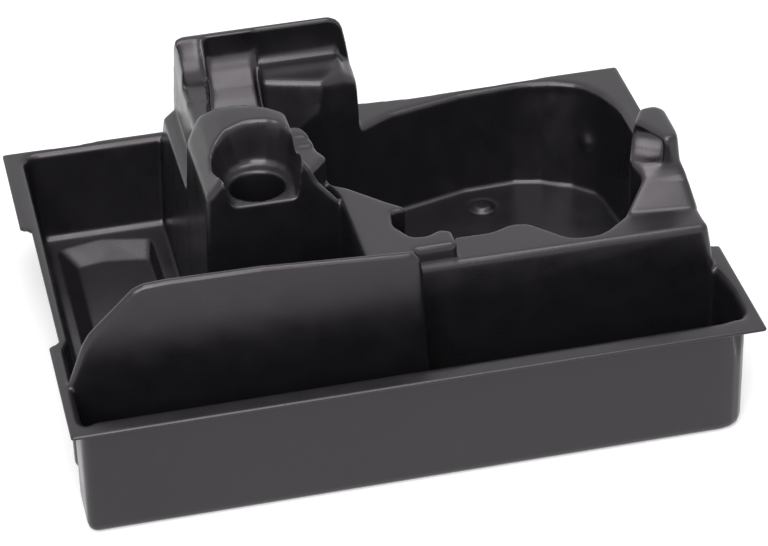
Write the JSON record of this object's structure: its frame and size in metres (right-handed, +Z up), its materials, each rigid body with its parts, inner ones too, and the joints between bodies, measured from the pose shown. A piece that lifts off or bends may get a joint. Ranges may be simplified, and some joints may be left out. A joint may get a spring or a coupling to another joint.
{
  "type": "tool case insert",
  "caption": "Thin formed plastic insert for a tool case, with a front trough, a left pocket, a cup socket, a rear tower, a deep basin and a raised corner horn.",
  "frame": {"origin": "underside of the floor, below the middle of the rim's outline", "axes": "+X along the rim's long side to the right, +Y to the back, +Z up"},
  "size_m": [0.384, 0.296, 0.1434],
  "materials": {
    "formed_plastic": "semi-gloss, slightly uneven from forming"
  },
  "bodies": {
    "root": {"insert_shell": "formed_plastic"}
  },
  "joints": []
}
